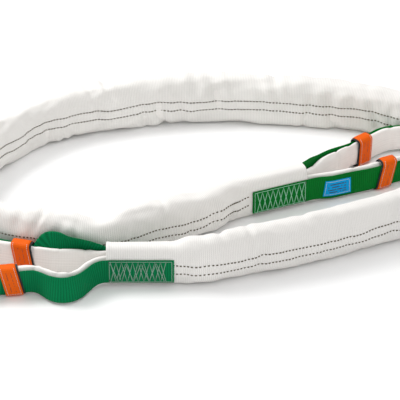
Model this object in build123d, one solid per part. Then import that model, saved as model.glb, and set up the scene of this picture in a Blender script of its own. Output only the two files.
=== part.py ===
from build123d import *
import math
import os

# Eye-and-eye round sling, laid on its edge as a 1 1/4-turn spiral.
# Frame: +X along the long side of the spiral, +Y away from the front run,
# +Z up. The origin is the centre of the footprint, on the floor.
# All sizes in millimetres.

# ------------------------------------------------------------ driving sizes
SLEEVE_H = 104.0        # protective sleeve, standing height over the body
SLEEVE_T = 54.0         # and its thickness
SLEEVE_R = 23.0         # section corner radius, leaves an 8 mm flat underside
SLEEVE_WALL = 2.4
MOUTH_H = 84.0          # flattened sleeve end
MOUTH_T = 36.0
MOUTH_R = 12.0
MOUTH_RUN = 120.0       # length of the flattened end
TAPER_RUN = 30.0        # from flattened end to full body

HOSE_T = 14.0           # core hose where it is flat, in the eyes
HOSE_H = 54.0
HOSE_Z = 4.6            # its lower edge, kept off the floor by the keepers
HOSE_WALL = 1.2
HOSE_BODY_T = 22.0      # the same hose, plumped out inside the sleeve
HOSE_BODY_H = 74.0
HOSE_BODY_Z = 14.0
LEG_OFF_MOUTH = 8.0     # the two legs side by side, off the sleeve's centre
LEG_OFF_BODY = 11.7
CORE_GAP = 0.3          # yarn core to hose wall

WEB_W = 50.0            # wear strip webbing
WEB_T = 3.0
WEB_Z = 7.0             # its lower edge
WEB_OFF = 11.8          # strip centre, off the hose leg's centre
PATCH_LEN = 116.0       # sewn-down strip end
PATCH_SETBACK = 3.0

KEEPER_W = 36.0         # keeper band, along the leg
KEEPER_T = 2.4
LINING_T = 0.9
LINING_GAP = 0.4        # running gap over hose and strip

LABEL_L = 58.0
LABEL_H = 33.0
LABEL_T = 0.8

SEAM_Z = (38.0, 58.0)   # two rows of seam stitching, on both faces
THREAD_H = 1.4
THREAD_T = 0.5

MOUTH_GAP = 0.6         # hinge line gap between the sleeve mouth and an eye
BIGHT_R = 36.0          # hose centre radius round the end of each eye

OX, OY = 110.8515, -7.7565      # layout centre, subtracted from every route point

# ------------------------------------------------------------------- routes
# Sleeve centre line from mouth A to mouth B: (x, y) and corner radius.
BODY = [
    (-176.0, -291.0, 0), (8.0, -291.0, 140), (205.0, -222.0, 400),
    (400.0, -130.0, 500), (600.0, -57.0, 240), (702.0, 35.0, 98),
    (702.0, 140.0, 98), (610.0, 196.0, 240), (430.0, 245.0, 300),
    (310.0, 290.0, 400), (60.0, 322.0, 600), (-90.0, 309.0, 600),
    (-240.0, 272.0, 300), (-350.0, 212.0, 220), (-430.0, 112.0, 260),
    (-482.0, -20.0, 140), (-470.0, -108.0, 90), (-415.0, -165.0, 110),
    (-345.0, -191.0, 300), (-195.0, -229.0, 90), (12.0, -112.0, 100),
    (52.3, -69.45, 78),
    (205.0, -2.0, 0),
]
# Hose centre line of each eye, front leg first, round the bight, back leg.
EYE_A_FRONT = [(-200.0, -299.0, 34), (-250.0, -363.0, 42), (-310.0, -323.0, 40),
               (-440.0, -345.0, 60)]
EYE_A_BACK = [(-420.0, -229.0, 40), (-280.0, -268.0, 90), (-214.0, -272.0, 55),
              (-194.0, -283.0, 20)]
EYE_B_FRONT = [(236.0, 3.0, 90), (335.0, 39.0, 90)]
EYE_B_BACK = [(430.0, 196.0, 60), (378.0, 184.0, 60), (246.0, 66.5, 90),
              (213.0, 10.2, 24)]


def unit(a, b):
    d = math.hypot(b[0] - a[0], b[1] - a[1])
    return ((b[0] - a[0]) / d, (b[1] - a[1]) / d)


def ahead(p, d, s):
    return (p[0] + d[0] * s, p[1] + d[1] * s)


def left(d):
    return (-d[1], d[0])


def meet(p, a, q, b):
    """Crossing of the line through p along a and the line through q along b."""
    k = a[0] * b[1] - a[1] * b[0]
    t = ((q[0] - p[0]) * b[1] - (q[1] - p[1]) * b[0]) / k
    return (p[0] + a[0] * t, p[1] + a[1] * t)


def offset_route(pts, radii, off):
    """The same route moved off to the left, corner centres kept."""
    out, rad = [], []
    for i, p in enumerate(pts):
        if i == 0:
            out.append(ahead(p, left(unit(p, pts[1])), off))
        elif i == len(pts) - 1:
            out.append(ahead(p, left(unit(pts[-2], p)), off))
        else:
            a, b = unit(pts[i - 1], p), unit(p, pts[i + 1])
            q = meet(ahead(p, left(a), off), a, ahead(p, left(b), off), b)
            out.append(q)
            turn = a[0] * b[1] - a[1] * b[0]
            rad.append(radii[i - 1] - off if turn > 0 else radii[i - 1] + off)
    return out, rad


def section_plane(p, d, zc):
    return Plane(origin=(p[0], p[1], zc), x_dir=(-d[1], d[0], 0), z_dir=(d[0], d[1], 0))


def profile(t, h, r):
    return RectangleRounded(t, h, r)


def swept(pts, radii, zc, sec):
    """A section swept along straight runs joined by tangent arcs."""
    wire = FilletPolyline(*[(x, y, zc) for x, y in pts], radius=radii)
    return sweep(section_plane(pts[0], unit(pts[0], pts[1]), zc) * sec, path=wire)


def spindle(pts, radii, off_b, off_m, body, mouth, zb, zm, mouth_run, taper_run, end_cut=0.0):
    """Flattened end, taper, full body, taper, flattened end. body and mouth
    are (thickness, height, corner radius); zb and zm their centre heights."""
    p0, p1 = pts[0], pts[-1]
    d0, d1 = unit(pts[0], pts[1]), unit(pts[-2], pts[-1])
    run = mouth_run + taper_run
    inner = [ahead(p0, d0, run)] + list(pts[1:-1]) + [ahead(p1, d1, -run)]
    b_pts, b_rad = offset_route(inner, radii, off_b)
    solid = swept(b_pts, b_rad, zb, profile(*body))
    for p, d, s in ((p0, d0, 1.0), (p1, d1, -1.0)):
        m0 = ahead(ahead(p, left(d), off_m), d, s * end_cut)
        m1 = ahead(ahead(p, left(d), off_m), d, s * mouth_run)
        b1 = ahead(ahead(p, left(d), off_b), d, s * run)
        flat = extrude(section_plane(m0, (d[0] * s, d[1] * s), zm) * profile(*mouth),
                       amount=mouth_run - end_cut)
        taper = loft([section_plane(m1, d, zm) * profile(*mouth),
                      section_plane(b1, d, zb) * profile(*body)])
        solid = solid + flat + taper
    return solid


def shrink(sec, w):
    return (sec[0] - 2 * w, sec[1] - 2 * w, sec[2] - w)


# ----------------------------------------------------------- working routes
def moved(rows):
    return [(x - OX, y - OY) for x, y, r in rows], [r for x, y, r in rows]


body_pts, body_rad = moved(BODY)
body_rad = body_rad[1:-1]
dir_a = unit(body_pts[1], body_pts[0])      # out of mouth A
dir_b = unit(body_pts[-2], body_pts[-1])    # out of mouth B
mouth_a, mouth_b = body_pts[0], body_pts[-1]


def eye_route(mouth, d, front, back, front_side, head_f, head_b):
    """Closed round a bight: front leg out, one wide arc, back leg in.
    front_side is +1 when the front leg is left of the way out."""
    f_pts, f_rad = moved(front)
    k_pts, k_rad = moved(back)
    start = ahead(ahead(mouth, left(d), front_side * LEG_OFF_MOUTH), d, MOUTH_GAP)
    end = ahead(ahead(mouth, left(d), -front_side * LEG_OFF_MOUTH), d, MOUTH_GAP)
    hf = (math.cos(math.radians(head_f)), math.sin(math.radians(head_f)))
    hb = (math.cos(math.radians(head_b)), math.sin(math.radians(head_b)))
    tip = meet(f_pts[-1], hf, k_pts[0], hb)
    return [start] + f_pts + [tip] + k_pts + [end], f_rad + [BIGHT_R] + k_rad


# headings of the two runs that meet at the bight, in degrees
eye_a_pts, eye_a_rad = eye_route(mouth_a, dir_a, EYE_A_FRONT, EYE_A_BACK, 1, 160.0, 35.0)
eye_b_pts, eye_b_rad = eye_route(mouth_b, dir_b, EYE_B_FRONT, EYE_B_BACK, -1, 28.443, 160.0)

BODY_SEC = (SLEEVE_T, SLEEVE_H, SLEEVE_R)
MOUTH_SEC = (MOUTH_T, MOUTH_H, MOUTH_R)
LEG_BODY = (HOSE_BODY_T, HOSE_BODY_H, 10.0)
LEG_FLAT = (HOSE_T, HOSE_H, 6.4)
hose_zc = HOSE_Z + HOSE_H / 2
leg_zc = HOSE_BODY_Z + HOSE_BODY_H / 2
web_zc = WEB_Z + WEB_W / 2

nodes = {}


# ------------------------------------------------------------------- sleeve
def sleeve():
    args = (body_pts, body_rad, 0.0, 0.0)
    outer = spindle(*args, BODY_SEC, MOUTH_SEC, SLEEVE_H / 2, MOUTH_H / 2, MOUTH_RUN, TAPER_RUN)
    inner = spindle(*args, shrink(BODY_SEC, SLEEVE_WALL), shrink(MOUTH_SEC, SLEEVE_WALL),
                    SLEEVE_H / 2, MOUTH_H / 2, MOUTH_RUN, TAPER_RUN)
    return outer - inner


nodes["sleeve"] = sleeve()

# two threads on each face, over the full-section body
run = MOUTH_RUN + TAPER_RUN
seam_mid = [ahead(body_pts[0], unit(body_pts[0], body_pts[1]), run)] + body_pts[1:-1] \
    + [ahead(body_pts[-1], dir_b, -run)]
threads = []
for side in (1, -1):
    s_pts, s_rad = offset_route(seam_mid, body_rad, side * (SLEEVE_T / 2 + THREAD_T / 2 + 0.05))
    for z in SEAM_Z:
        threads.append(swept(s_pts, s_rad, z, Rectangle(THREAD_T, THREAD_H)))
nodes["seam_stitching"] = Compound(children=[t.solid() for t in threads])

# ------------------------------------------- core hose and yarn, sleeve legs
for name, side in (("left", 1), ("right", -1)):
    args = (body_pts, body_rad, side * LEG_OFF_BODY, side * LEG_OFF_MOUTH)
    outer = spindle(*args, LEG_BODY, LEG_FLAT, leg_zc, hose_zc, MOUTH_RUN, TAPER_RUN)
    bore = spindle(*args, shrink(LEG_BODY, HOSE_WALL), shrink(LEG_FLAT, HOSE_WALL),
                   leg_zc, hose_zc, MOUTH_RUN, TAPER_RUN)
    nodes["hose_leg_" + name] = outer - bore
    g = HOSE_WALL + CORE_GAP
    nodes["core_yarn_leg_" + name] = spindle(*args, shrink(LEG_BODY, g), shrink(LEG_FLAT, g),
                                             leg_zc, hose_zc, MOUTH_RUN, TAPER_RUN)

# ----------------------------------------------------------------- the eyes
for eye, e_pts, e_rad, out_side in (("a", eye_a_pts, eye_a_rad, 1), ("b", eye_b_pts, eye_b_rad, -1)):
    outer = swept(e_pts, e_rad, hose_zc, profile(*LEG_FLAT))
    bore = swept(e_pts, e_rad, hose_zc, profile(*shrink(LEG_FLAT, HOSE_WALL)))
    nodes["hose_eye_" + eye] = outer - bore
    nodes["core_yarn_eye_" + eye] = swept(e_pts, e_rad, hose_zc,
                                          profile(*shrink(LEG_FLAT, HOSE_WALL + CORE_GAP)))
    w_pts, w_rad = offset_route(e_pts, e_rad, out_side * WEB_OFF)
    nodes["wear_strip_eye_" + eye] = swept(w_pts, w_rad, web_zc, RectangleRounded(WEB_T, WEB_W, 1.2))


# ------------------------------------------------- sewn strip ends (patches)
def zigzag(length, height, pitch, w):
    n = int(round(length / pitch))
    top = [(-length / 2 + length * i / n, (height / 2 if i % 2 else -height / 2) + w / 2) for i in range(n + 1)]
    bot = [(x, z - w) for x, z in reversed(top)]
    return make_face(Polyline(*(top + bot), close=True))


def face_plane(p, d, n, zc):
    """A plane lying on a vertical face: local X along d, Y up, normal n."""
    return Plane(origin=(p[0], p[1], zc), x_dir=(d[0], d[1], 0), z_dir=(n[0], n[1], 0))


for eye, mouth, d in (("a", mouth_a, dir_a), ("b", mouth_b, dir_b)):
    for where, y_sign in (("front", -1), ("back", 1)):
        n = left(d)
        if n[1] * y_sign < 0:
            n = (-n[0], -n[1])
        mid = ahead(mouth, d, -(PATCH_SETBACK + PATCH_LEN / 2))
        base = MOUTH_T / 2 + 0.3
        along = (n[1] * -1, n[0])            # keeps local Y pointing up
        pl = face_plane(ahead(mid, n, base), along, n, web_zc)
        nodes["strip_end_%s_%s" % (eye, where)] = extrude(pl * Rectangle(PATCH_LEN, WEB_W), amount=WEB_T)
        pl2 = face_plane(ahead(mid, n, base + WEB_T + 0.05), along, n, web_zc)
        nodes["strip_end_stitching_%s_%s" % (eye, where)] = extrude(
            pl2 * zigzag(PATCH_LEN - 12, WEB_W - 12, 10.0, 1.4), amount=THREAD_T)


# ------------------------------------------------------------------ keepers
def keeper(centre, d, out_n):
    """Lined band round one leg. d runs along the leg, out_n to the strip."""
    lo = -(HOSE_T / 2 + LINING_GAP)
    hi = WEB_OFF + WEB_T / 2 + LINING_GAP
    t, h = hi - lo, HOSE_H + 2 * LINING_GAP
    c = ahead(centre, out_n, (lo + hi) / 2)
    p = ahead(c, d, -KEEPER_W / 2)
    pl = Plane(origin=(p[0], p[1], hose_zc), x_dir=(out_n[0], out_n[1], 0), z_dir=(d[0], d[1], 0))
    gap = 0.1

    def ring(a, b):
        o = RectangleRounded(t + 2 * b, h + 2 * b, 2.8 + b)
        i = RectangleRounded(t + 2 * a, h + 2 * a, 2.8 + a)
        return extrude(pl * (o - i), amount=KEEPER_W)

    lining = ring(0.0, LINING_T)
    band = ring(LINING_T + gap, LINING_T + gap + KEEPER_T)
    reach = (hi - lo) / 2 + LINING_T + gap + KEEPER_T
    return lining, band, c, reach


def frame_thread(pl, w, h, wire):
    return extrude(pl * (Rectangle(w, h) - Rectangle(w - 2 * wire, h - 2 * wire)), amount=THREAD_T)


# centre of each keeper, as a point of the straight run it slides on
KEEPERS = {
    "a_front": ("a", eye_a_pts, 3, -356.0),
    "a_back": ("a", eye_a_pts, 6, -336.0),
    "b_front": ("b", eye_b_pts, 2, 374.0),
    "b_back": ("b", eye_b_pts, 5, 330.0),
}
KEEPER_AT = {}
for name, (eye, pts, i, x) in KEEPERS.items():
    a, b = pts[i], pts[i + 1]
    d = unit(a, b)
    x = x - OX
    c = (x, a[1] + (x - a[0]) * (b[1] - a[1]) / (b[0] - a[0]))
    out_dir = dir_a if eye == "a" else dir_b
    if d[0] * out_dir[0] + d[1] * out_dir[1] < 0:
        d = (-d[0], -d[1])
    n = left(d)
    if (n[1] > 0) != name.endswith("back"):
        n = (-n[0], -n[1])
    lining, band, mid, reach = keeper(c, d, n)
    nodes["keeper_" + name] = band
    nodes["keeper_lining_" + name] = lining
    # sewn box on the face that looks to the front
    f = n if name.endswith("front") else (-n[0], -n[1])
    at = ahead(mid, f, reach + 0.05)
    along = (f[1] * -1, f[0])
    pl = face_plane(at, along, f, hose_zc)
    nodes["keeper_stitching_" + name] = frame_thread(pl, KEEPER_W - 9, HOSE_H - 14, 1.0)
    KEEPER_AT[name] = (c, d)

# -------------------------------------------------------------------- label
a, b = eye_b_pts[1], eye_b_pts[2]
d = unit(a, b)
n = (d[1], -d[0])
mid = ahead(a, d, 46.0)
pl = face_plane(ahead(mid, n, WEB_OFF + WEB_T / 2 + 0.05), (-n[1], n[0]), n, web_zc)
nodes["label"] = extrude(pl * RectangleRounded(LABEL_L, LABEL_H, 1.0), amount=LABEL_T)
pl = face_plane(ahead(mid, n, WEB_OFF + WEB_T / 2 + 0.1 + LABEL_T), (-n[1], n[0]), n, web_zc)
nodes["label_stitching"] = frame_thread(pl, LABEL_L - 5, LABEL_H - 5, 0.9)

# ------------------------------------------------------------------- output
os.makedirs("parts", exist_ok=True)
for name, shape in nodes.items():
    export_step(shape, "parts/%s.step" % name)

box = None
for s in nodes.values():
    bb = s.bounding_box()
    lo, hi = tuple(bb.min), tuple(bb.max)
    box = (lo, hi) if box is None else (tuple(map(min, box[0], lo)), tuple(map(max, box[1], hi)))
print("box", [round(v, 3) for v in box[0]], [round(v, 3) for v in box[1]])
print("centre", round((box[0][0] + box[1][0]) / 2, 3), round((box[0][1] + box[1][1]) / 2, 3))
for name, (c, d) in KEEPER_AT.items():
    print("keeper", name, [round(v, 2) for v in c], [round(v, 5) for v in d])
print("mouths", mouth_a, dir_a, mouth_b, dir_b)
print("eyes a", [(round(x, 2), round(y, 2)) for x, y in eye_a_pts])
print("eyes b", [(round(x, 2), round(y, 2)) for x, y in eye_b_pts])
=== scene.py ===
import math
import bpy
import numpy as np
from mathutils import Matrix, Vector

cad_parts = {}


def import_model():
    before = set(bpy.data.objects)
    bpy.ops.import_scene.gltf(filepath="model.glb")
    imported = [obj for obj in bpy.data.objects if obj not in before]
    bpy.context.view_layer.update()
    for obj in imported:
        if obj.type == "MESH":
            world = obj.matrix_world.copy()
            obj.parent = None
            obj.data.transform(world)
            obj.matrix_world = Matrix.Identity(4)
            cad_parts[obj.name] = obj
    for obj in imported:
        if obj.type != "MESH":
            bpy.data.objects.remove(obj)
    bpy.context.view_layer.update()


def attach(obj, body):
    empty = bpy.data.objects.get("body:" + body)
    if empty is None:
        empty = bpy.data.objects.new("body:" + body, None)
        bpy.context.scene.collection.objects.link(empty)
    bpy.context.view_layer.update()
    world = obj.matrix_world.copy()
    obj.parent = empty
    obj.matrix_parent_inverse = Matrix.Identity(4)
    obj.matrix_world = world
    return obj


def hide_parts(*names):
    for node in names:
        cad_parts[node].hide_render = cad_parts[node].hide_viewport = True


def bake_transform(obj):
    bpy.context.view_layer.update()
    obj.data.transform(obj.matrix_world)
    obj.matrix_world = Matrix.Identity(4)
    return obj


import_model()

OX, OY = 110.8515, -7.7565          # layout centre, mm
RNG = np.random.RandomState(7)


# ------------------------------------------------------------------ routes
def unit(v):
    v = np.asarray(v, float)
    return v / np.linalg.norm(v)


def cross(a, b):
    return a[0] * b[1] - a[1] * b[0]


def smooth_route(pts, rad, step=3.0):
    """Straight runs joined by arcs, as evenly spaced points (mm)."""
    pts = [np.array(p, float) for p in pts]
    out = [pts[0]]
    for i in range(1, len(pts) - 1):
        b = pts[i]
        u, w = unit(pts[i - 1] - b), unit(pts[i + 1] - b)
        turn = math.pi - math.acos(max(-1, min(1, float(u @ w))))
        if turn < 1e-3:
            continue
        r = rad[i - 1]
        t = r * math.tan(turn / 2)
        a0, a1 = b + u * t, b + w * t
        bis = unit(u + w)
        c = b + bis * (r / math.cos(turn / 2))
        n = max(3, int(turn * r / step))
        th0 = math.atan2(*(a0 - c)[::-1])
        th1 = math.atan2(*(a1 - c)[::-1])
        d = (th1 - th0 + math.pi) % (2 * math.pi) - math.pi
        for j in range(n + 1):
            th = th0 + d * j / n
            out.append(c + r * np.array([math.cos(th), math.sin(th)]))
    out.append(pts[-1])
    out = np.array(out)
    seg = np.linalg.norm(np.diff(out, axis=0), axis=1)
    keep = np.concatenate([[True], seg > 1e-6])
    out = out[keep]
    s = np.concatenate([[0], np.cumsum(np.linalg.norm(np.diff(out, axis=0), axis=1))])
    n = int(s[-1] / step)
    q = np.linspace(0, s[-1], n + 1)
    return np.column_stack([np.interp(q, s, out[:, 0]), np.interp(q, s, out[:, 1])]), q


def tangents(p):
    t = np.gradient(p, axis=0)
    return t / np.linalg.norm(t, axis=1)[:, None]


def offset_route(pts, rad, off):
    pts = [np.array(p, float) for p in pts]
    out, rr = [], []
    for i, p in enumerate(pts):
        if i in (0, len(pts) - 1):
            d = unit(pts[1] - p) if i == 0 else unit(p - pts[-2])
            out.append(p + off * np.array([-d[1], d[0]]))
            continue
        a, b = unit(p - pts[i - 1]), unit(pts[i + 1] - p)
        pa, pb = p + off * np.array([-a[1], a[0]]), p + off * np.array([-b[1], b[0]])
        k = cross(a, b)
        out.append((pa + pb) / 2 if abs(k) < 1e-4 else pa + a * (cross(pb - pa, b) / k))
        rr.append(rad[i - 1] - off if k > 0 else rad[i - 1] + off)
    return out, rr


def lay(rows):
    return [(x - OX, y - OY) for x, y, r in rows], [r for x, y, r in rows]


BODY = [
    (-176.0, -291.0, 0), (8.0, -291.0, 140), (205.0, -222.0, 400),
    (400.0, -130.0, 500), (600.0, -57.0, 240), (702.0, 35.0, 98),
    (702.0, 140.0, 98), (610.0, 196.0, 240), (430.0, 245.0, 300),
    (310.0, 290.0, 400), (60.0, 322.0, 600), (-90.0, 309.0, 600),
    (-240.0, 272.0, 300), (-350.0, 212.0, 220), (-430.0, 112.0, 260),
    (-482.0, -20.0, 140), (-470.0, -108.0, 90), (-415.0, -165.0, 110),
    (-345.0, -191.0, 300), (-195.0, -229.0, 90), (12.0, -112.0, 100),
    (52.3, -69.45, 78), (205.0, -2.0, 0),
]
# eye hose centre lines, mouth to mouth
EYE_A = [(-177.0, -299.0, 0), (-200.0, -299.0, 34), (-250.0, -363.0, 42), (-310.0, -323.0, 40),
         (-440.0, -345.0, 60), (-536.8, -311.9, 36), (-420.0, -229.0, 40), (-280.0, -268.0, 90),
         (-214.0, -272.0, 55), (-194.0, -283.0, 20), (-177.0, -283.0, 0)]
EYE_B = [(208.23, -9.32, 0), (236.0, 3.0, 90), (335.0, 39.0, 90), (545.56, 153.84, 36),
         (430.0, 196.0, 60), (378.0, 184.0, 60), (246.0, 66.5, 90), (213.0, 10.2, 24),
         (201.77, 5.32, 0)]

body_pts, body_rad = lay(BODY)
body_rad = body_rad[1:-1]
BP, BS = smooth_route(body_pts, body_rad, 3.0)
BT = tangents(BP)
BL = np.column_stack([-BT[:, 1], BT[:, 0]])
LEN = BS[-1]


def s_near(x, y, lo=0.0, hi=1e9):
    """Arc length of the body route nearest to a layout point."""
    d = np.hypot(BP[:, 0] - (x - OX), BP[:, 1] - (y - OY))
    d[(BS < lo) | (BS > hi)] = 1e9
    return float(BS[int(np.argmin(d))])


def sample(p, l, s_arr, s):
    return (np.array([np.interp(s, s_arr, p[:, k]) for k in range(2)]).T,
            np.array([np.interp(s, s_arr, l[:, k]) for k in range(2)]).T)


# ------------------------------------------------------------ mesh building
def grid_object(name, verts, closed_u=True, cap=True, uv=None, mat=None, smooth=True):
    """verts: stations x ring x 3, metres. Ring is closed when closed_u."""
    n, m, _ = verts.shape
    flat = verts.reshape(-1, 3)
    faces = []
    mm = m if closed_u else m - 1
    for i in range(n - 1):
        a, b = i * m, (i + 1) * m
        for j in range(mm):
            k = (j + 1) % m
            faces.append((a + j, b + j, b + k, a + k))
    n_grid = len(faces)
    if cap and closed_u:
        faces.append(tuple(range(m)))
        faces.append(tuple(range((n - 1) * m + m - 1, (n - 1) * m - 1, -1)))
    me = bpy.data.meshes.new(name)
    me.from_pydata([tuple(v) for v in flat], [], faces)
    if uv is not None:
        lay_ = me.uv_layers.new(name="UVMap")
        data = np.zeros(len(me.loops) * 2, dtype=np.float32)
        c = 0
        us, vs = uv
        for i in range(n - 1):
            for j in range(mm):
                for (ii, jj) in ((i, j), (i + 1, j), (i + 1, j + 1), (i, j + 1)):
                    data[c] = us[ii]
                    data[c + 1] = vs[ii, jj] if vs.ndim == 2 else vs[jj]
                    c += 2
        lay_.data.foreach_set("uv", data)
    if smooth:
        me.polygons.foreach_set("use_smooth", [True] * len(me.polygons))
    me.validate()
    me.update()
    o = bpy.data.objects.new(name, me)
    bpy.context.scene.collection.objects.link(o)
    if mat:
        me.materials.append(mat)
    return o


def super_section(phi, a, b, n):
    """Soft rounded section: across, up; arrays broadcast."""
    c, s = np.cos(phi), np.sin(phi)
    x = a * np.sign(c) * np.abs(c) ** (2.0 / n)
    z = b * np.sign(s) * np.abs(s) ** (2.0 / n)
    return x, z


def chips(name, centers, d_long, d_wide, d_up, l, w, h, mat):
    """Many small rounded stitches in one mesh. Arrays are N x 3, metres."""
    prof = [(-0.5, -0.30, 0.0), (-0.5, 0.30, 0.0), (0.5, 0.30, 0.0), (0.5, -0.30, 0.0),
            (-0.36, -0.5, 0.0), (-0.36, 0.5, 0.0), (0.36, 0.5, 0.0), (0.36, -0.5, 0.0),
            (-0.28, -0.26, 1.0), (-0.28, 0.26, 1.0), (0.28, 0.26, 1.0), (0.28, -0.26, 1.0)]
    fcs = [(0, 1, 5, 9, 8, 4), (3, 7, 11, 10, 6, 2), (8, 9, 10, 11), (4, 8, 11, 7), (5, 6, 10, 9),
           (0, 4, 7, 3, 2, 6, 5, 1)]
    verts, faces = [], []
    for c, a, b, u in zip(centers, d_long, d_wide, d_up):
        k = len(verts)
        for x, y, z in prof:
            verts.append(tuple(c + a * (x * l) + b * (y * w) + u * (z * h)))
        faces += [tuple(k + i for i in f) for f in fcs]
    me = bpy.data.meshes.new(name)
    me.from_pydata(verts, [], faces)
    me.update()
    me.polygons.foreach_set("use_smooth", [True] * len(me.polygons))
    me.materials.append(mat)
    o = bpy.data.objects.new(name, me)
    bpy.context.scene.collection.objects.link(o)
    return o


# ---------------------------------------------------------------- materials
def weave_material(name, base, dark, pitch_u, pitch_v, mode="rib", rough=0.85, sheen=0.3,
                   bump=0.4, dist=0.0006, stain=0.12, shade=0.35, spec=0.3, diag=0.0):
    """Woven cloth from the surface's own length and width, in metres, with painted shade in the weave's low parts."""
    m = bpy.data.materials.new(name)
    m.use_nodes = True
    nt = m.node_tree
    nd, ln = nt.nodes, nt.links
    bsdf = nd["Principled BSDF"]
    bsdf.inputs["Roughness"].default_value = rough
    bsdf.inputs["Sheen Weight"].default_value = sheen
    bsdf.inputs["Sheen Roughness"].default_value = 0.5
    bsdf.inputs["Specular IOR Level"].default_value = spec
    tc = nd.new("ShaderNodeTexCoord")
    sep = nd.new("ShaderNodeSeparateXYZ")
    ln.new(tc.outputs["UV"], sep.inputs[0])

    def math_(op, a, b=None):
        n = nd.new("ShaderNodeMath")
        n.operation = op
        for k, v in enumerate((a, b)):
            if v is None:
                continue
            if isinstance(v, (int, float)):
                n.inputs[k].default_value = v
            else:
                ln.new(v, n.inputs[k])
        return n.outputs[0]

    jit = nd.new("ShaderNodeTexNoise")
    jit.inputs["Scale"].default_value = 60.0
    jit.inputs["Detail"].default_value = 2.0
    ln.new(tc.outputs["UV"], jit.inputs["Vector"])
    j = math_("MULTIPLY", math_("SUBTRACT", jit.outputs["Fac"], 0.5), 1.6)
    u, v = sep.outputs["X"], sep.outputs["Y"]
    if diag:
        u2 = math_("ADD", u, math_("MULTIPLY", v, diag))
        v2 = math_("SUBTRACT", u, math_("MULTIPLY", v, diag))
        u, v = u2, v2
    su = math_("SINE", math_("ADD", math_("MULTIPLY", u, 2 * math.pi / pitch_u), j))
    sv = math_("SINE", math_("MULTIPLY", v, 2 * math.pi / pitch_v))
    if mode == "rib":
        h = math_("ADD", math_("MULTIPLY", su, 0.62), math_("MULTIPLY", math_("MULTIPLY", su, sv), 0.38))
    elif mode == "diamond":
        h = math_("MULTIPLY", su, sv)
    else:
        h = math_("ADD", math_("MULTIPLY", su, 0.5), math_("MULTIPLY", sv, 0.5))
    h01 = math_("ADD", math_("MULTIPLY", h, 0.5), 0.5)
    big = nd.new("ShaderNodeTexNoise")
    big.inputs["Scale"].default_value = 9.0
    big.inputs["Detail"].default_value = 6.0
    ln.new(tc.outputs["Object"], big.inputs["Vector"])
    fine = nd.new("ShaderNodeTexNoise")
    fine.inputs["Scale"].default_value = 900.0
    fine.inputs["Detail"].default_value = 2.0
    ln.new(tc.outputs["Object"], fine.inputs["Vector"])
    mix = nd.new("ShaderNodeMix")
    mix.data_type = "RGBA"
    mix.inputs["A"].default_value = (*dark, 1)
    mix.inputs["B"].default_value = (*base, 1)
    # painted shade: the low parts of the weave are mixed toward the dark colour by the same height that drives the
    # bump; the two noises below add random tone
    f = math_("ADD", math_("MULTIPLY", h01, shade), 1.0 - shade)
    f = math_("SUBTRACT", f, math_("MULTIPLY", math_("SUBTRACT", big.outputs["Fac"], 0.45), stain * 3))
    f = math_("SUBTRACT", f, math_("MULTIPLY", math_("SUBTRACT", fine.outputs["Fac"], 0.5), stain))
    cl = nd.new("ShaderNodeClamp")
    ln.new(f, cl.inputs[0])
    ln.new(cl.outputs[0], mix.inputs["Factor"])
    ln.new(mix.outputs["Result"], bsdf.inputs["Base Color"])
    bm = nd.new("ShaderNodeBump")
    bm.inputs["Strength"].default_value = bump
    bm.inputs["Distance"].default_value = dist
    ln.new(math_("ADD", h01, math_("MULTIPLY", fine.outputs["Fac"], 0.4)), bm.inputs["Height"])
    ln.new(bm.outputs["Normal"], bsdf.inputs["Normal"])
    return m


def thread_material(name, base, dark, rough=0.7):
    m = bpy.data.materials.new(name)
    m.use_nodes = True
    nt = m.node_tree
    bsdf = nt.nodes["Principled BSDF"]
    bsdf.inputs["Roughness"].default_value = rough
    bsdf.inputs["Sheen Weight"].default_value = 0.2
    tc = nt.nodes.new("ShaderNodeTexCoord")
    nz = nt.nodes.new("ShaderNodeTexNoise")
    nz.inputs["Scale"].default_value = 700.0
    nt.links.new(tc.outputs["Object"], nz.inputs["Vector"])
    mix = nt.nodes.new("ShaderNodeMix")
    mix.data_type = "RGBA"
    mix.inputs["A"].default_value = (*dark, 1)
    mix.inputs["B"].default_value = (*base, 1)
    nt.links.new(nz.outputs["Fac"], mix.inputs["Factor"])
    nt.links.new(mix.outputs["Result"], bsdf.inputs["Base Color"])
    bm = nt.nodes.new("ShaderNodeBump")
    bm.inputs["Strength"].default_value = 0.5
    bm.inputs["Distance"].default_value = 0.0003
    nt.links.new(nz.outputs["Fac"], bm.inputs["Height"])
    nt.links.new(bm.outputs["Normal"], bsdf.inputs["Normal"])
    return m


M_SLEEVE = weave_material("sleeve_weave", (0.90, 0.878, 0.848), (0.56, 0.545, 0.52), 0.0034, 0.0042,
                          rough=0.9, sheen=0.05, bump=0.55, dist=0.0010, stain=0.08, shade=0.50, spec=0.15)
M_HOSE = weave_material("hose_weave", (0.90, 0.875, 0.845), (0.55, 0.53, 0.50), 0.0030, 0.0030, mode="plain",
                        rough=0.92, sheen=0.05, bump=0.4, dist=0.0006, stain=0.14, shade=0.28, spec=0.15)
M_GREEN_A = weave_material("green_webbing", (0.001, 0.225, 0.078), (0.0, 0.035, 0.010), 0.0044, 0.0034,
                           mode="rib", rough=0.55, sheen=0.0, bump=0.7, dist=0.0008, stain=0.13, shade=0.62,
                           spec=0.05)
M_GREEN_B = weave_material("green_webbing_b", (0.001, 0.195, 0.024), (0.0, 0.035, 0.004), 0.0044, 0.0034,
                           mode="rib", rough=0.55, sheen=0.0, bump=0.7, dist=0.0008, stain=0.13, shade=0.55,
                           spec=0.05)
M_ORANGE = weave_material("orange_webbing", (0.86, 0.13, 0.004), (0.40, 0.045, 0.001), 0.0030, 0.0030,
                          mode="plain", rough=0.5, sheen=0.0, bump=0.35, dist=0.0004, stain=0.14, shade=0.40,
                          spec=0.10)
M_BLACK = weave_material("lining_weave", (0.022, 0.022, 0.025), (0.006, 0.006, 0.007), 0.0018, 0.0018,
                         mode="plain", rough=0.85, sheen=0.2, bump=0.4, dist=0.0003, stain=0.1, shade=0.4)
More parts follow.
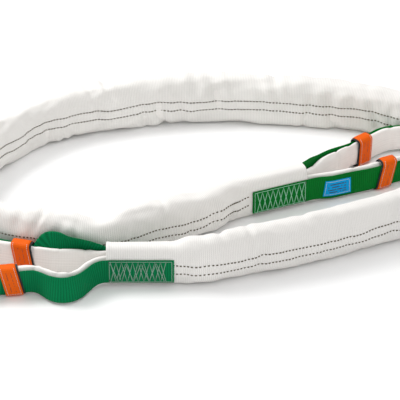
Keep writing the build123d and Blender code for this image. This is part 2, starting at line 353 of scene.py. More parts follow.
M_BLUE = weave_material("label_cloth", (0.003, 0.36, 0.76), (0.004, 0.16, 0.38), 0.0016, 0.0016, mode="plain", spec=0.08,
                        rough=0.5, sheen=0.0, bump=0.25, dist=0.0002, stain=0.08, shade=0.3)
M_YARN = weave_material("core_yarn", (0.80, 0.78, 0.72), (0.5, 0.48, 0.42), 0.0008, 0.0200, mode="rib",
                        rough=0.8, sheen=0.3, bump=0.5, dist=0.0005)
M_SEAM = thread_material("seam_thread", (0.13, 0.105, 0.055), (0.05, 0.04, 0.02))
M_GTHREAD = thread_material("zigzag_thread", (0.40, 0.66, 0.50), (0.18, 0.48, 0.30))
M_GTHREAD2 = thread_material("zigzag_thread_grey", (0.34, 0.40, 0.36), (0.10, 0.30, 0.19))
M_WTHREAD = thread_material("white_thread", (0.86, 0.82, 0.78), (0.55, 0.5, 0.46))
M_DARK = thread_material("mark_ink", (0.006, 0.03, 0.10), (0.003, 0.015, 0.05))
M_RUST = thread_material("band_ink", (0.30, 0.045, 0.004), (0.16, 0.02, 0.002))
M_TACK = thread_material("tack_thread", (0.02, 0.03, 0.02), (0.01, 0.01, 0.01))

# --------------------------------------------------------------- the sleeve
s_a1 = 120.0                      # end of the flattened part at mouth A
s_b1 = LEN - 120.0
KEY = [  # arc length, height, thickness, section power
    (0, 84, 36, 3.4), (s_a1, 85, 37, 3.2), (s_a1 + 40, 97, 51, 2.7),
    (s_near(95, -258), 101, 54, 2.6), (s_near(290, -172), 105, 55, 2.6), (s_near(389, -132), 104, 54, 2.6),
    (s_near(660, 0), 100, 55, 2.5), (s_near(702, 90), 103, 54, 2.5), (s_near(430, 245, 900), 106, 54, 2.6),
    (s_near(250, 296, 900), 109, 56, 2.6), (s_near(0, 315, 900), 111, 57, 2.6),
    (s_near(-200, 282, 1200), 109, 56, 2.6), (s_near(-350, 212, 1200), 104, 54, 2.6),
    (s_near(-482, -20, 1200), 100, 55, 2.5), (s_near(-380, -180, 1800), 101, 54, 2.6),
    (s_near(-250, -214, 1800), 104, 54, 2.6), (s_near(-195, -225, 1800), 94, 55, 2.5),
    (s_near(-140, -198, 1800), 103, 54, 2.6), (s_near(-60, -153, 1800), 98, 55, 2.5),
    (s_near(15, -105, 1800), 87, 55, 2.5), (s_b1 - 42, 87, 51, 2.7), (s_b1, 85, 37, 3.2), (LEN, 84, 36, 3.4),
]
KEY.sort()
KS = np.array([k[0] for k in KEY])


def ease_interp(s, col):
    s = np.asarray(s, float)
    v = np.array([k[col] for k in KEY], float)
    i = np.clip(np.searchsorted(KS, s, side="right") - 1, 0, len(KS) - 2)
    t = np.clip((s - KS[i]) / np.maximum(KS[i + 1] - KS[i], 1e-9), 0, 1)
    t = t * t * (3 - 2 * t)
    return v[i] * (1 - t) + v[i + 1] * t


CREASES = []
_s = 150.0
while _s < LEN - 150:
    CREASES.append((_s, RNG.uniform(-0.75, 0.75) if RNG.rand() < 0.3 else RNG.uniform(0.25, 0.8),
                    RNG.uniform(1.6, 4.2), RNG.uniform(6.0, 12.0), RNG.choice([-1.0, 1.0]),
                    RNG.uniform(-0.9, 1.0)))
    _s += RNG.uniform(26, 62)
_g = RNG.uniform(-1, 1, size=(400, 24))


def soft_noise(s, phi, scale):
    """Smooth value noise over length (mm) and the ring angle."""
    x = s / scale
    y = (phi % (2 * math.pi)) / (2 * math.pi) * 12
    xi, yi = np.floor(x).astype(int), np.floor(y).astype(int)
    fx, fy = x - xi, y - yi
    fx, fy = fx * fx * (3 - 2 * fx), fy * fy * (3 - 2 * fy)
    a = _g[xi % 400, yi % 12]
    b = _g[(xi + 1) % 400, yi % 12]
    c = _g[xi % 400, (yi + 1) % 12]
    d = _g[(xi + 1) % 400, (yi + 1) % 12]
    return (a * (1 - fx) + b * fx) * (1 - fy) + (c * (1 - fx) + d * fx) * fy


def bulge(s, phi):
    """Push along the section's normal, mm."""
    z = np.sin(phi)
    side = np.sign(np.cos(phi))
    live = np.clip((s - 70) / 90, 0, 1) * np.clip((LEN - 70 - s) / 90, 0, 1)
    wild = 1.0 + 0.9 * np.exp(-((s - 1950.0) / 330.0) ** 2)
    tilt = s + 34.0 * z
    d = wild * (2.4 * soft_noise(tilt, phi, 62.0) + 1.4 * soft_noise(tilt + 913.0, phi, 27.0))
    for cs, slant, depth, wid, sd, zc in CREASES:
        near = np.abs(s - cs) < 75
        if not near.any():
            continue
        x = (s - cs - slant * 30.0 * z) / wid
        m = np.exp(-x * x) * np.exp(-((z - zc) / 0.75) ** 2) * (0.6 + 0.4 * sd * np.cos(phi))
        lip = np.exp(-((x - 1.7) ** 2)) * 0.55 + np.exp(-((x + 1.7) ** 2)) * 0.3
        depth = depth * (1.0 + 0.9 * math.exp(-((cs - 1950.0) / 330.0) ** 2))
        d = d - depth * m * 1.1 + depth * lip * np.exp(-((z - zc) / 0.75) ** 2) * 0.6
    hem = 0.9 * (np.exp(-(s / 6.0) ** 4) + np.exp(-((LEN - s) / 6.0) ** 4))
    return d * live + hem


def sleeve_points(s, phi, extra=0.0):
    """World points (m) of the sleeve skin at arc length s, ring angle phi."""
    s, phi = np.broadcast_arrays(np.asarray(s, float), np.asarray(phi, float))
    h, t, n = ease_interp(s, 1), ease_interp(s, 2), ease_interp(s, 3)
    x, z = super_section(phi, t / 2, h / 2, n)
    nx, nz = np.cos(phi) * h, np.sin(phi) * t
    nn = np.hypot(nx, nz)
    d = bulge(s, phi) + extra
    x = x + d * nx / nn
    z = z + d * nz / nn + h / 2
    z = np.maximum(z, 0.15 + 0.0 * z)
    p, l = sample(BP, BL, BS, s.ravel())
    p = p.reshape(s.shape + (2,))
    l = l.reshape(s.shape + (2,))
    out = np.empty(s.shape + (3,))
    out[..., 0] = p[..., 0] + l[..., 0] * x
    out[..., 1] = p[..., 1] + l[..., 1] * x
    out[..., 2] = z
    return out / 1000.0


RING = 72
phi = np.linspace(0, 2 * math.pi, RING, endpoint=False)
stations = np.concatenate([np.arange(0, LEN, 3.4), [LEN]])
S2, P2 = np.meshgrid(stations, phi, indexing="ij")
skin = sleeve_points(S2, P2)
WALL = 2.2
in_a = [sleeve_points(np.full(RING, s), phi, -WALL) for s in (58.0, 30.0, 10.0, 1.0)]
lip_a = sleeve_points(np.full(RING, 0.0), phi, -WALL * 0.45)
lip_a[:, :2] += (-BT[0] * 0.0008)
lip_b = sleeve_points(np.full(RING, LEN), phi, -WALL * 0.45)
lip_b[:, :2] += (BT[-1] * 0.0008)
in_b = [sleeve_points(np.full(RING, LEN - s), phi, -WALL) for s in (1.0, 10.0, 30.0, 58.0)]
verts = np.concatenate([np.array(in_a), lip_a[None], skin, lip_b[None], np.array(in_b)])
us = np.concatenate([[0.058, 0.03, 0.01, 0.001, 0.0], stations / 1000,
                     [LEN / 1000] * 2, [(LEN - 10) / 1000, (LEN - 30) / 1000, (LEN - 58) / 1000]])
vs = np.linspace(0, 0.264, RING + 1)
sleeve = grid_object("sleeve_soft", verts, uv=(us, vs), mat=M_SLEEVE)
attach(sleeve, "sling_body")
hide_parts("sleeve")


# ----------------------------------------------------------- seam stitching
def phi_at(z, s, side):
    h, n = ease_interp(s, 1), ease_interp(s, 3)
    q = np.clip((z - h / 2) / (h / 2), -1, 1)
    f = np.arcsin(np.abs(q) ** (n / 2)) * np.sign(q)
    return f if side > 0 else math.pi - f


SEAM = np.array([(0, 28), (160, 29), (330, 30), (520, 34), (700, 36), (1100, 38), (1500, 42), (2000, 42),
                 (2300, 40), (2600, 36), (2900, 32), (3400, 28)], float)
cen, dl, dw, du = [], [], [], []
for side in (1, -1):
    for row in (0.0, 19.5):
        s = np.arange(126.0, LEN - 126.0, 6.9)
        s = s + RNG.uniform(-0.35, 0.35, len(s))
        wob = 1.3 * np.sin(s / 37.0 + side) + 1.0 * np.sin(s / 19.0 + 2 * side)
        z = np.interp(s, SEAM[:, 0], SEAM[:, 1]) + row + wob
        f = phi_at(z, s, side)
        c = sleeve_points(s, f, 0.15)
        a = sleeve_points(s + 1.5, phi_at(z, s + 1.5, side), 0.15) - sleeve_points(s - 1.5, phi_at(z, s - 1.5, side), 0.15)
        b = sleeve_points(s, phi_at(z + 1.0, s, side), 0.15) - sleeve_points(s, phi_at(z - 1.0, s, side), 0.15)
        a /= np.linalg.norm(a, axis=1)[:, None]
        b /= np.linalg.norm(b, axis=1)[:, None]
        u = np.cross(a, b)
        u /= np.linalg.norm(u, axis=1)[:, None]
        p, l = sample(BP, BL, BS, s)
        out3 = np.column_stack([l * side, np.zeros(len(s))])
        sg = np.sign((u * out3).sum(1))
        u *= sg[:, None]
        cen.append(c - u * 0.0002); dl.append(a); dw.append(b); du.append(u)
seam = chips("seam_rows", np.concatenate(cen), np.concatenate(dl), np.concatenate(dw), np.concatenate(du),
             0.0047, 0.0029, 0.0013, M_SEAM)
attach(seam, "sling_body")
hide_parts("seam_stitching")


# ------------------------------------------------------------- eye geometry
class Eye:
    def __init__(self, rows, mouth, d, out_side):
        self.pts, rad = lay(rows)
        self.rad = rad[1:-1]
        self.mouth = np.array([mouth[0] - OX, mouth[1] - OY])
        self.d = np.array(d)                     # out of the mouth
        self.out = out_side                      # +1: strip on the left of travel
        p = [np.array(q) for q in self.pts]
        full = [p[0] - self.d * 46.0] + p[1:-1] + [p[-1] - self.d * 46.0]
        hp, hs = smooth_route(full, self.rad, 2.5)
        # ease the tight corners at the mouth, so that the hose never doubles back
        soft = hp.copy()
        for _ in range(60):
            soft[1:-1] = 0.25 * soft[:-2] + 0.5 * soft[1:-1] + 0.25 * soft[2:]
        m = np.clip((108.0 - np.minimum(hs, hs[-1] - hs)) / 30.0, 0, 1)
        m = (m * m * (3 - 2 * m))[:, None]
        hp = hp * (1 - m) + soft * m
        c = np.concatenate([[0], np.cumsum(np.linalg.norm(np.diff(hp, axis=0), axis=1))])
        self.hs = np.linspace(0, c[-1], int(c[-1] / 2.5) + 1)
        self.hp = np.column_stack([np.interp(self.hs, c, hp[:, 0]), np.interp(self.hs, c, hp[:, 1])])
        self.ht = tangents(self.hp)
        self.hl = np.column_stack([-self.ht[:, 1], self.ht[:, 0]])

    def s_x(self, x, half):
        """Arc length where the hose passes layout x, on the front (0) or back (1) half."""
        s = self.hs
        mid = s[-1] / 2
        ok = (s < mid) if half == 0 else (s >= mid)
        d = np.abs(self.hp[:, 0] - (x - OX))
        d[~ok] = 1e9
        return float(s[int(np.argmin(d))])


DB = unit([152.7, 67.45])
eye_a = Eye(EYE_A, (-176.0, -291.0), (-1.0, 0.0), 1)
eye_b = Eye(EYE_B, (205.0, -2.0), DB, -1)


def hose(eye, name, seed, k=0.0, mat=None):
    g = np.random.RandomState(seed)
    ring = 48
    f = np.linspace(0, 2 * math.pi, ring, endpoint=False)
    S, F = np.meshgrid(eye.hs, f, indexing="ij")
    L = eye.hs[-1]
    end = np.minimum(S, L - S)                   # distance from the buried ends
    puff = np.clip((end - 40) / 70, 0, 1)
    a = 6.2 + 1.0 * puff + 0.8 * np.sin(S / 41.0 + seed) * puff
    b = 26.5 + 0.5 * np.sin(S / 33.0 + 1.7 * seed) * puff
    rise = 5.0 * (1 - np.clip((end - 46) / 60, 0, 1)) + 0.5 * np.sin(S / 27.0 + seed) * puff
    a, b = a - k, b - k
    x, z = super_section(F, a, b, 2.8)
    nx, nz = np.cos(F) * b, np.sin(F) * a
    nn = np.hypot(nx, nz)
    w = 0.5 * soft_noise(S + 300 * seed, F, 17.0) + 0.7 * soft_noise(S + 777 * seed, F, 40.0)
    for k in range(16):
        cs, sl, dep, wid = g.uniform(60, L - 60), g.uniform(-12, 12), g.uniform(0.9, 2.3), g.uniform(3, 8)
        w = w - dep * np.exp(-((S - cs - sl * np.sin(F)) / wid) ** 2)
    w = np.clip(w, -2.2, 0.7) * puff
    x = x + w * nx / nn
    z = np.maximum(z + w * nz / nn + 31.4 + rise, 0.3)
    out = np.empty(S.shape + (3,))
    out[..., 0] = eye.hp[:, None, 0] + eye.hl[:, None, 0] * x
    out[..., 1] = eye.hp[:, None, 1] + eye.hl[:, None, 1] * x
    out[..., 2] = z
    o = grid_object(name, out / 1000, uv=(eye.hs / 1000, np.linspace(0, 0.128, ring + 1)), mat=mat or M_HOSE)
    return o


for eye, tag, seed in ((eye_a, "a", 1), (eye_b, "b", 2)):
    o = hose(eye, "hose_soft_" + tag, seed)
    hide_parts("hose_eye_" + tag)
    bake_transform(o)


    o = hose(eye, "core_yarn_soft_" + tag, seed, 2.6, M_YARN)
    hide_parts("core_yarn_eye_" + tag)
    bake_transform(o)


# ------------------------------------------- hose and yarn inside the sleeve
def inner_run(name, side, shrink, mat):
    """One run of the endless hose inside the sleeve, sized to the sleeve round it."""
    ring = 32
    f = np.linspace(0, 2 * math.pi, ring, endpoint=False)
    st_ = np.concatenate([np.arange(47.0, LEN - 47.0, 9.0), [LEN - 47.0]])
    S, F = np.meshgrid(st_, f, indexing="ij")
    h, t = ease_interp(S, 1), ease_interp(S, 2)
    x, z = super_section(F, t * 0.205 - shrink, h * 0.31 - shrink, 2.6)
    x = x + side * t * 0.22
    z = z + h * 0.46
    p, l = sample(BP, BL, BS, S.ravel())
    p, l = p.reshape(S.shape + (2,)), l.reshape(S.shape + (2,))
    out = np.empty(S.shape + (3,))
    out[..., 0] = p[..., 0] + l[..., 0] * x
    out[..., 1] = p[..., 1] + l[..., 1] * x
    out[..., 2] = z
    return grid_object(name, out / 1000, uv=(st_ / 1000, np.linspace(0, 0.15, ring + 1)), mat=mat)


for side, word in ((1, "left"), (-1, "right")):
    o = inner_run("hose_run_" + word, side, 0.0, M_HOSE)
    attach(o, "sling_body")
    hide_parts("hose_leg_" + word)
    o = inner_run("core_yarn_run_" + word, side, 1.6, M_YARN)
    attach(o, "sling_body")
    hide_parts("core_yarn_leg_" + word)


# ------------------------------------------------------------- wear strips
HALF_W = 25.0
STRIP_T = 1.35                    # half thickness


def ribbon(name, C, W, N, us, mat, half=HALF_W, th=STRIP_T, cols=25, cup=None, curl=None):
    """C centre, W width direction, N thickness direction; all n x 3 (mm)."""
    w = np.linspace(-1, 1, cols)
    edge = np.sqrt(np.clip(1 - np.clip((np.abs(w) - 0.93) / 0.07, 0, 1) ** 2, 0.12, 1))
    top = [(q * half, th * e) for q, e in zip(w, edge)]
    bot = [(q * half, -th * e) for q, e in zip(w[::-1], edge[::-1])]
    ring = np.array(top + bot)
    q = ring[:, 0] / half
    off = np.zeros((len(C), len(q)))
    low = np.zeros((len(C), len(q)))
    if cup is not None:
        off += cup[:, None] * (1 - q[None, :] ** 2)
    if curl is not None:
        off -= curl[:, None] * np.clip(q[None, :], 0, 1) ** 2
        low += np.abs(curl)[:, None] * 0.12 * np.clip(q[None, :], 0, 1) ** 2
    V = (C[:, None, :] + W[:, None, :] * (ring[None, :, 0:1] - low[:, :, None])
         + N[:, None, :] * (ring[None, :, 1:2] + off[:, :, None]))
    vv = np.concatenate([ring[:, 0], ring[:1, 0]]) / 1000 + 0.025
    return grid_object(name, V / 1000, uv=(us, vv), mat=mat)


def strip_route(eye):
    offp, offr = offset_route(eye.pts, eye.rad, eye.out * 10.4)
    n = np.array([-eye.d[1], eye.d[0]])
    p0 = np.array(eye.pts[0])
    sgn = 1.0 if (p0 - eye.mouth) @ n > 0 else -1.0
    face = 18.0 + 0.35 + STRIP_T
    f0 = eye.mouth + n * sgn * face
    b0 = eye.mouth - n * sgn * face
    reach = 127 if eye.out > 0 else 119
    pts = [f0 - eye.d * reach, f0 + eye.d * 3] + offp[1:-1] + [b0 + eye.d * 3, b0 - eye.d * reach]
    p, s = smooth_route(pts, [16] + offr + [16], 2.2)
    # ease the tight corners at the mouth, so that the strip never doubles back
    soft = p.copy()
    for _ in range(60):
        soft[1:-1] = 0.25 * soft[:-2] + 0.5 * soft[1:-1] + 0.25 * soft[2:]
    far = np.minimum(np.abs(s - reach - 8), np.abs(s[-1] - s - reach - 8))
    m = np.clip((58.0 - far) / 25.0, 0, 1)
    m = (m * m * (3 - 2 * m))[:, None]
    p = p * (1 - m) + soft * m
    c = np.concatenate([[0], np.cumsum(np.linalg.norm(np.diff(p, axis=0), axis=1))])
    s = np.linspace(0, c[-1], int(c[-1] / 2.2) + 1)
    p = np.column_stack([np.interp(s, c, p[:, 0]), np.interp(s, c, p[:, 1])])
    return p, s, face


def smoothstep(x, a, b):
    t = np.clip((x - a) / (b - a), 0, 1)
    return t * t * (3 - 2 * t)


def bell(x, c, w):
    return np.exp(-((x - c) / w) ** 2)


strip_data = {}
for eye, tag in ((eye_a, "a"), (eye_b, "b")):
    p, s, face = strip_route(eye)
    t = tangents(p)
    l = np.column_stack([-t[:, 1], t[:, 0]]) * eye.out       # outward
    L = s[-1]
    n = len(s)
    live = smoothstep(s, 130, 180) * smoothstep(L - s, 130, 180)
    zc = 35.0 - 5.2 * live + 0.8 * np.sin(s / 31.0) * live
    lean = 0.05 * np.sin(s / 47.0 + 1) * live                 # tilt of the width
    outw = np.zeros(n)
    xl = p[:, 0] + OX
    back = s > L * 0.5
    cup, curl = np.zeros(n), np.zeros(n)
    if tag == "a":
        # the loose fold behind the back leg: it stands up, turns over and drops to the mouth
        k = np.where(back, np.where(xl < -284.0, bell(xl, -284.0, 13.0), bell(xl, -284.0, 40.0)), 0.0)
        k2 = np.where(back, bell(xl, -230.0, 40.0) * smoothstep(-xl, 176.0, 192.0), 0.0)
        zc = zc + 26.0 * k + 30.0 * k2 * (1 - 0.35 * k)
        outw = outw + 5.0 * k - 1.0 * k2
        lean = lean + 0.34 * k - 0.10 * k2
        curl = curl + 13.0 * np.where(back, bell(xl, -234.0, 24.0), 0.0)
        cup = cup + 1.0 * np.where(back, bell(xl, -236.0, 18.0), 0.0) - 2.0 * k
        # deep bulge of the front leg
        f = np.where(~back, bell(xl, -257.0, 34.0), 0.0)
        zc = zc - 1.0 * f
        lean = lean - 0.24 * f
        outw = outw + 7.5 * f
    else:
        sm = L - s - 119.0                       # run out from the mouth
        add = 8.0 + 7.0 * smoothstep(sm, -8, 14) - 7.0 * smoothstep(sm, 22, 75) - 8.0 * smoothstep(sm, 90, 170)
        zc = zc + np.where(back, add, 0.0)
    C = np.column_stack([p + l * outw[:, None], zc])
    W = np.column_stack([l * np.sin(lean)[:, None], np.cos(lean)])
    T3 = np.gradient(C, axis=0)
    T3 /= np.linalg.norm(T3, axis=1)[:, None]
    W = W - T3 * (W * T3).sum(1)[:, None]
    W /= np.linalg.norm(W, axis=1)[:, None]
    N = np.cross(T3, W)
    sg = np.sign((N[:, :2] * l).sum(1))
    N *= sg[:, None]
    o = ribbon("wear_strip_" + tag, C, W, N, s / 1000, M_GREEN_A if tag == "a" else M_GREEN_B, cup=cup, curl=curl)
    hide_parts("wear_strip_eye_" + tag, "strip_end_%s_front" % tag, "strip_end_%s_back" % tag)
    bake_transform(o)
    strip_data[tag] = (s, C, W, N)


# ------------------------------------------------- zig-zag stitched patches
def thread_line(pts3, r=0.00055, sides=6):
    """A closed thin tube along points (m); returns verts, faces."""
    pts3 = np.array(pts3)
    t = np.gradient(pts3, axis=0)
    t /= np.linalg.norm(t, axis=1)[:, None]
    up = np.array([0.03, 0.05, 1.0])
    a = np.cross(t, up)
    a /= np.linalg.norm(a, axis=1)[:, None]
    b = np.cross(a, t)
    v, f = [], []
    for i in range(len(pts3)):
        for k in range(sides):
            q = 2 * math.pi * k / sides
            v.append(tuple(pts3[i] + a[i] * math.cos(q) * r + b[i] * math.sin(q) * r))
    for i in range(len(pts3) - 1):
        for k in range(sides):
            k2 = (k + 1) % sides
            f.append((i * sides + k, i * sides + k2, (i + 1) * sides + k2, (i + 1) * sides + k))
    f.append(tuple(range(sides))[::-1])
    f.append(tuple((len(pts3) - 1) * sides + k for k in range(sides)))
    return v, f


def mesh_from(name, chunks, mat):
    V, Fc = [], []
    for v, f in chunks:
        k = len(V)
        V += v
        Fc += [tuple(k + i for i in q) for q in f]
    me = bpy.data.meshes.new(name)
    me.from_pydata(V, [], Fc)
    me.update()
    me.polygons.foreach_set("use_smooth", [True] * len(me.polygons))
    me.materials.append(mat)
    o = bpy.data.objects.new(name, me)
    bpy.context.scene.collection.objects.link(o)
    return o


def on_patch(eye, side_n, along, z, lift=0.0):
    """Point on a sewn strip end: along back from the mouth, height z (mm)."""
    n = np.array([-eye.d[1], eye.d[0]]) * side_n
    q = eye.mouth - eye.d * along + n * (18.0 + 0.35 + 2 * STRIP_T + lift)
    return np.array([q[0], q[1], z]) / 1000


for eye, tag in ((eye_a, "a"), (eye_b, "b")):
    n0 = np.array([-eye.d[1], eye.d[0]])
    for where, want in (("front", -1), ("back", 1)):
        sn = 1.0 if n0[1] * want > 0 else -1.0
        chunks = []
        up = 8.0 if (tag == "b" and where == "back") else 0.0
        end = 124.0 if tag == "a" else 116.0
        # (pitch, shift, low, high)
        if tag == "a":
            lines = ((21.0, 0.0, 11.5, 56.0), (21.0, 10.5, 11.5, 56.0), (29.0, 5.0, 13.0, 54.0))
        else:
            lines = ((23.0, 0.0, 10.5, 56.0), (23.0, 11.5, 10.5, 56.0))
        for pitch, ph, z_in, z_h in lines:
            g2 = RNG.uniform(-1.2, 1.2, 80)
            pts = []
            k = 0
            x = 7.0
            k = int(ph > 0)
            while x < end - 3.0:
                zz = z_h if k % 2 else z_in
                j = g2[k % 80] * 0.7
                pts.append(on_patch(eye, sn, x, zz + j + up, 0.25))
                x += pitch / 2
                k += 1
            fine = []
            for i in range(len(pts) - 1):
                for q in np.linspace(0, 1, 5)[:-1]:
                    fine.append(pts[i] * (1 - q) + pts[i + 1] * q)
            fine.append(pts[-1])
            chunks.append(thread_line(fine, 0.00072))
        # turned edges of the sewn end
        for x in (5.0, end - 1.0):
            pts = [on_patch(eye, sn, x + RNG.uniform(-0.3, 0.3), z + up, 0.25) for z in np.linspace(13, 57, 20)]
            chunks.append(thread_line(pts, 0.0007))
        for z in (13.0, 57.0):
            pts = [on_patch(eye, sn, x, z + up + RNG.uniform(-0.25, 0.25), 0.25) for x in np.linspace(5, end - 1.0, 40)]
            chunks.append(thread_line(pts, 0.0005))
        o = mesh_from("zigzag_%s_%s" % (tag, where), chunks, M_GTHREAD2 if tag == "a" else M_GTHREAD)
        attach(o, "sling_body")
        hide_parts("strip_end_stitching_%s_%s" % (tag, where))
        # two bar tacks at the mouth end
        c, a, b, u = [], [], [], []
        for z in (15.0, 55.0):
            c.append(on_patch(eye, sn, 4.5, z + up, 0.1))
            a.append(np.array([0, 0, 1.0])); b.append(np.array([eye.d[0], eye.d[1], 0]))
            u.append(np.array([n0[0] * sn, n0[1] * sn, 0]))
        o = chips("bar_tack_%s_%s" % (tag, where), c, a, b, u, 0.0055, 0.0026, 0.0008, M_TACK)
        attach(o, "sling_body")


# ------------------------------------------------------------------ keepers
def rr_loop(hx, hz, r, n=64):
    """Rounded rectangle loop, evenly spaced: points and outward normals."""
    pts, nor = [], []
    sx, sz = hx - r, hz - r
    per = 4 * (sx + sz) + 2 * math.pi * r
    segs = [("l", (hx, -sz), (hx, sz), (1, 0)), ("a", (sx, sz), 0), ("l", (sx, hz), (-sx, hz), (0, 1)),
            ("a", (-sx, sz), 90), ("l", (-hx, sz), (-hx, -sz), (-1, 0)), ("a", (-sx, -sz), 180),
            ("l", (-sx, -hz), (sx, -hz), (0, -1)), ("a", (sx, -sz), 270)]
    for q in range(n):
        d = per * q / n
        for sg in segs:
            if sg[0] == "l":
                L = math.hypot(sg[2][0] - sg[1][0], sg[2][1] - sg[1][1])
                if d <= L:
                    f = d / max(L, 1e-9)
                    pts.append((sg[1][0] + (sg[2][0] - sg[1][0]) * f, sg[1][1] + (sg[2][1] - sg[1][1]) * f))
                    nor.append(sg[3])
                    break
            else:
                L = math.pi * r / 2
                if d <= L:
                    th = math.radians(sg[2]) + d / r
                    pts.append((sg[1][0] + r * math.cos(th), sg[1][1] + r * math.sin(th)))
                    nor.append((math.cos(th), math.sin(th)))
                    break
            d -= L
        else:
            pts.append(pts[-1]); nor.append(nor[-1])
    return np.array(pts), np.array(nor)


KEEP = {
    "a_front": (eye_a, -356.0, 0, 0.22, 33.0, (-0.98598, -0.16686)),
    "a_back": (eye_a, -336.0, 1, 0.16, 36.0, (-0.96332, 0.26835)),
    "b_front": (eye_b, 374.0, 0, 0.24, 31.0, (0.87929, 0.47628)),
    "b_back": (eye_b, 330.0, 1, 0.05, 34.0, (0.74694, 0.66489)),
}
for key, (eye, x, half, skew, width, d) in KEEP.items():
    s0 = eye.s_x(x, half)
    c, _ = sample(eye.hp, eye.hl, eye.hs, np.array([s0]))
    c = c[0]
    d = np.array(d)
    n = np.array([-d[1], d[0]])
    want = 1.0 if half == 1 else -1.0
    if n[1] * want < 0:
        n = -n                                    # outward, to the strip side
    lo, hi = -7.9, 13.4
    cx, hx, hz = (lo + hi) / 2, (hi - lo) / 2 + 0.3, 28.7
    zc = 31.6

    def world(q_n, q_z, q_d):
        """section across, section up, along the leg -> world (m)"""
        z = zc + q_z
        sh = q_d + skew * (q_z + (-20.0 if key == "b_front" else 6.0))
        p = c + n * (cx + q_n) + d * sh
        return np.array([p[0], p[1], max(z, 0.5)]) / 1000

    for layer in ("band", "lining"):
        if layer == "band":
            base, th, wd, mat = 0.95, 1.9, width, M_ORANGE
        else:
            base, th, wd, mat = 0.0, 1.0, width + 2.2, M_BLACK
        loop, nor = rr_loop(hx, hz, 6.5, 72)
        cols = np.linspace(-0.5, 0.5, 9)
        edge = np.array([0.35, 0.95, 1, 1, 1, 1, 1, 0.95, 0.35])
        V = []
        for (a, b), (na, nb) in zip(loop, nor):
            ringv = []
            for q, e in zip(cols, edge):
                pl = 0.45 * math.sin(q * 9.0 + a * 0.3)
                k = base + th * (0.5 + 0.5 * e) + (0.25 * pl if layer == "band" else 0)
                ringv.append(world(a + na * k, b + nb * k, q * wd - (2.6 if layer == "lining" else 0)))
            for q, e in zip(cols[::-1], edge[::-1]):
                k = base + th * (0.5 - 0.5 * e)
                ringv.append(world(a + na * k, b + nb * k, q * wd - (2.6 if layer == "lining" else 0)))
            V.append(ringv)
        V = np.array(V)
        nst, m, _ = V.shape
        faces = []
        for i in range(nst):
            i2 = (i + 1) % nst
            for j in range(m):
                k = (j + 1) % m
                faces.append((i * m + j, i2 * m + j, i2 * m + k, i * m + k))
        me = bpy.data.meshes.new("keeper_%s_%s" % ("strap" if layer == "band" else "liner", key))
        me.from_pydata([tuple(v) for v in V.reshape(-1, 3)], [], faces)
        uvl = me.uv_layers.new(name="UVMap")
        per = 0.17
        wv = np.concatenate([cols * wd / 1000, cols[::-1] * wd / 1000, cols[:1] * wd / 1000])
        dat = []
        for i in range(nst):
            for j in range(m):
                for ii, jj in ((i, j), (i + 1, j), (i + 1, j + 1), (i, j + 1)):
                    dat += [per * ii / nst, float(wv[jj])]
        uvl.data.foreach_set("uv", dat)
        me.update()
        me.polygons.foreach_set("use_smooth", [True] * len(me.polygons))
        me.materials.append(mat)
        o = bpy.data.objects.new(me.name, me)
        bpy.context.scene.collection.objects.link(o)
        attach(o, "keeper_band_" + key)
        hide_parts(("keeper_" if layer == "band" else "keeper_lining_") + key)

    # stitched box and generic print on the face that looks to the front
    fs = 1.0 if half == 0 else -1.0               # which side of the section
    C, A, B, U = [], [], [], []

    def put(q_d, q_z, along_z, lst):
        rad = hx + 0.95 + 1.9 + 0.25
        if q_z > hz - 6.5:                         # over the top corner
            th = (q_z - (hz - 6.5)) / 9.0
            qn = fs * ((hx - 6.5) + (9.4) * math.cos(th))
            qz = (hz - 6.5) + 9.4 * math.sin(th)
            up_n = fs * math.cos(th); up_z = math.sin(th)
        else:
            qn, qz, up_n, up_z = fs * rad, q_z, fs, 0.0
        p = world(qn, qz, q_d)
        u3 = np.array([n[0] * up_n, n[1] * up_n, up_z])
        tz = np.array([-n[0] * fs * up_z, -n[1] * fs * up_z, abs(up_n)])
        tz = unit(tz + np.array([d[0], d[1], 0]) * skew)
        td = np.array([d[0], d[1], 0.0])
        lst.append((p, tz if along_z else td, td if along_z else tz, u3))

    st, ink = [], []
    hw = width / 2 - 4.0
    for q in np.arange(-24.0, 33.0, 3.3):
        put(-hw, q, True, st); put(hw, q, True, st)
    for q in np.arange(-hw + 1.5, hw, 3.2):
        put(q, -24.5, False, st)
    for col in (-4.4, 4.4):
        q = -18.0
        while q < 24.0:
            ln_ = RNG.uniform(0, 1)
            if ln_ < 0.72:
                put(col, q, True, ink)
            q += 2.9
    for nm, lst, mt, sl, (l_, w_, h_) in (("stitch", st, M_WTHREAD, "white_thread", (0.0024, 0.0010, 0.0005)),
                                          ("print", ink, M_RUST, "orange_webbing", (0.0022, 0.0013, 0.00012))):
        o = chips("keeper_%s_%s" % (nm, key), [q[0] for q in lst], [q[1] for q in lst], [q[2] for q in lst],
                  [q[3] for q in lst], l_, w_, h_, mt)
        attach(o, "keeper_band_" + key)
        if nm == "stitch":
            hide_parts("keeper_stitching_" + key)

# -------------------------------------------------------------------- label
s, C, W, N = strip_data["b"]
xl = C[:, 0] + OX
front = s < s[-1] * 0.5
i0 = int(np.argmin(np.where(front, np.abs(xl - 246.0), 1e9)))
i1 = int(np.argmin(np.where(front, np.abs(xl - 301.0), 1e9)))
sa, sb = s[i0], s[i1]


def on_strip(q_s, q_w, lift):
    c = np.array([np.interp(q_s, s, C[:, k]) for k in range(3)])
    w = unit([np.interp(q_s, s, W[:, k]) for k in range(3)])
    nn = unit([np.interp(q_s, s, N[:, k]) for k in range(3)])
    return (c + w * q_w + nn * (STRIP_T + lift)) / 1000, w, nn


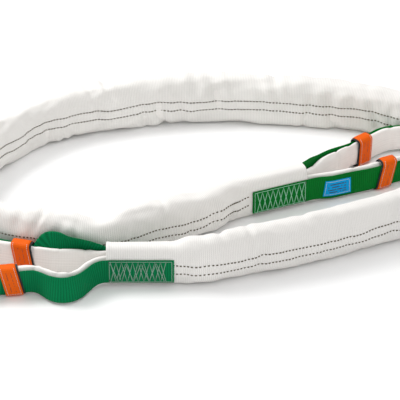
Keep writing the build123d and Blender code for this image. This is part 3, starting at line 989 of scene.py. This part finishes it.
rows, cols = 30, 12
V = []
for i in range(rows):
    q = sa + (sb - sa) * i / (rows - 1)
    ringv = []
    for j in range(cols):
        w_ = -19.0 + 34.0 * j / (cols - 1)
        ringv.append(on_strip(q, w_, 0.9)[0])
    for j in range(cols - 1, -1, -1):
        w_ = -19.0 + 34.0 * j / (cols - 1)
        ringv.append(on_strip(q, w_, 0.1)[0])
    V.append(ringv)
V = np.array(V)
vv = np.concatenate([np.linspace(0, 0.033, cols), np.linspace(0.033, 0, cols), [0]])
lab = grid_object("label_plate", V, uv=(np.linspace(0, 0.058, rows), vv), mat=M_BLUE)
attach(lab, "eye_b")
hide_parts("label")
st, ink = [], []


def put_l(q_s, q_w, along, lst):
    p, w, nn = on_strip(q_s, q_w, 0.95)
    p2 = on_strip(q_s + 1, q_w, 0.95)[0]
    t3 = unit(p2 - p)
    lst.append((p, t3 if along else w, w if along else t3, nn))


for q in np.arange(sa + 3.2, sb - 2.6, 2.9):
    put_l(q, 12.0, True, st); put_l(q, -16.0, True, st)
for q in np.arange(-14.5, 11.5, 2.9):
    put_l(sa + 3.2, q, False, st); put_l(sb - 3.2, q, False, st)
for r_, w_ in enumerate((5.5, -0.6, -6.4, -11.4)):
    q = sa + 10 + (4 if r_ == 0 else 0)
    while q < sb - 9:
        if RNG.uniform() < 0.82:
            put_l(q, w_, True, ink)
        q += RNG.uniform(2.3, 3.3)
for nm, lst, mt, sl, (l_, w_, h_) in (("stitch", st, M_WTHREAD, "white_thread", (0.0022, 0.0010, 0.0005)),
                                      ("print", ink, M_DARK, "blue_label", (0.0026, 0.0024, 0.00012))):
    o = chips("label_" + nm, [q[0] for q in lst], [q[1] for q in lst], [q[2] for q in lst], [q[3] for q in lst],
              l_, w_, h_, mt)
    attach(o, "eye_b")
    if nm == "stitch":
        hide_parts("label_stitching")

# ---------------------------------------------------------- floor and light
me = bpy.data.meshes.new("floor")
R = 6.0
me.from_pydata([(-R, -R, 0), (R, -R, 0), (R, R, 0), (-R, R, 0)], [], [(0, 1, 2, 3)])
floor = bpy.data.objects.new("floor", me)
bpy.context.scene.collection.objects.link(floor)
fm = bpy.data.materials.new("floor_pale")
fm.use_nodes = True
fm.node_tree.nodes["Principled BSDF"].inputs["Base Color"].default_value = (0.93, 0.93, 0.93, 1)
fm.node_tree.nodes["Principled BSDF"].inputs["Roughness"].default_value = 0.9
me.materials.append(fm)

target = Vector((-OX / 1000, -OY / 1000, 0.0))


def area(name, loc, size, power, at=target):
    ld = bpy.data.lights.new(name, "AREA")
    ld.shape = "RECTANGLE"
    ld.size, ld.size_y = size
    ld.energy = power
    o = bpy.data.objects.new(name, ld)
    bpy.context.scene.collection.objects.link(o)
    o.location = loc
    o.rotation_euler = (at - Vector(loc)).to_track_quat("-Z", "Y").to_euler()


area("key", (-1.9, 0.7, 2.1), (1.4, 1.2), 55)
area("fill_top", (0.4, 0.2, 3.0), (3.0, 2.4), 26)
area("fill_front", (0.8, -2.8, 1.3), (2.4, 1.2), 8)
w = bpy.data.worlds.new("studio")
w.use_nodes = True
w.node_tree.nodes["Background"].inputs[0].default_value = (1, 1, 1, 1)
w.node_tree.nodes["Background"].inputs[1].default_value = 0.60
bpy.context.scene.world = w

bpy.context.scene.view_settings.view_transform = "Standard"

cam = bpy.data.cameras.new("camera")
cam.sensor_width = 36.0
cam.lens = 225.0
cam.clip_end = 50.0
cam_o = bpy.data.objects.new("camera", cam)
bpy.context.scene.collection.objects.link(cam_o)
el = math.radians(32.0)
cam_o.location = target + Vector((0, -5.0 * math.cos(el), 5.0 * math.sin(el)))
cam_o.rotation_euler = (target - cam_o.location).to_track_quat("-Z", "Y").to_euler()
bpy.context.scene.camera = cam_o
